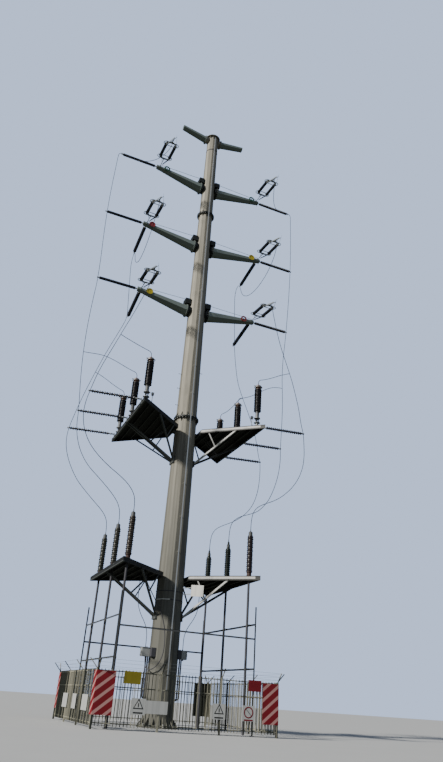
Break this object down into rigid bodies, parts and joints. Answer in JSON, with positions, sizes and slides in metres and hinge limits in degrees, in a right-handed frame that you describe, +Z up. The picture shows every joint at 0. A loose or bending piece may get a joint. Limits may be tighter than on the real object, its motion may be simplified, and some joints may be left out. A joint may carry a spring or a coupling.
{
  "type": "cable terminal tower",
  "caption": "Tapered steel pole with line arms, post insulators, surge arrester and cable termination platforms, and a picket fence round its foot.",
  "frame": {"origin": "centre of the base plate's underside, on the pole's axis, at ground level", "axes": "+Z up the pole, +X along the arms, -Y towards the overhead line that ends on the tower"},
  "size_m": [12.2804, 8.1822, 35.29],
  "materials": {
    "arm_steel": "dark weathered steel",
    "arrester_housing": "dark polymer housing",
    "box_steel": "light grey paint",
    "cable_sheath": "black sheath",
    "deck_boards": "dark steel deck",
    "fence_steel": "weathered galvanised steel",
    "frame_steel": "weathered galvanised steel",
    "lead_wire": "dull stranded wire",
    "line_insulator": "dark silicone sheds",
    "pole_steel": "weathered galvanised steel with streaks",
    "post_insulator": "dark silicone sheds",
    "rail_steel": "bright drawn rail",
    "termination_housing": "weathered glaze"
  },
  "bodies": {
    "root": {"arrester_leads_left": "lead_wire", "arrester_leads_right": "lead_wire", "box_cables": "cable_sheath", "cable_frame_left": "frame_steel", "cable_frame_right": "frame_steel", "cable_frame_ties": "frame_steel", "cable_terminations_left": "termination_housing", "cable_terminations_right": "termination_housing", "climbing_rail": "rail_steel", "crossarms_bottom": "arm_steel", "crossarms_middle": "arm_steel", "crossarms_top": "arm_steel", "deck_posts_left": "post_insulator", "deck_posts_right": "post_insulator", "earth_cable": "cable_sheath", "fence_front": "fence_steel", "fence_left": "fence_steel", "fence_rear": "fence_steel", "fence_right": "fence_steel", "ground_wire_arms": "arm_steel", "lead_bottom_left": "lead_wire", "lead_bottom_right": "lead_wire", "lead_middle_left": "lead_wire", "lead_middle_right": "lead_wire", "lead_posts_bottom": "post_insulator", "lead_posts_middle": "post_insulator", "lead_posts_top": "post_insulator", "lead_top_left": "lead_wire", "lead_top_right": "lead_wire", "link_boxes": "box_steel", "lower_deck_frame_left": "frame_steel", "lower_deck_frame_right": "frame_steel", "lower_deck_left": "deck_boards", "lower_deck_right": "deck_boards", "pole_cap": "pole_steel", "pole_lower_section": "pole_steel", "pole_middle_section": "pole_steel", "pole_upper_section": "pole_steel", "power_cables_left": "cable_sheath", "power_cables_right": "cable_sheath", "strain_strings_bottom": "line_insulator", "strain_strings_middle": "line_insulator", "strain_strings_top": "line_insulator", "surge_arresters_left": "arrester_housing", "surge_arresters_right": "arrester_housing", "upper_deck_frame_left": "frame_steel", "upper_deck_frame_right": "frame_steel", "upper_deck_left": "deck_boards", "upper_deck_right": "deck_boards"}
  },
  "joints": []
}
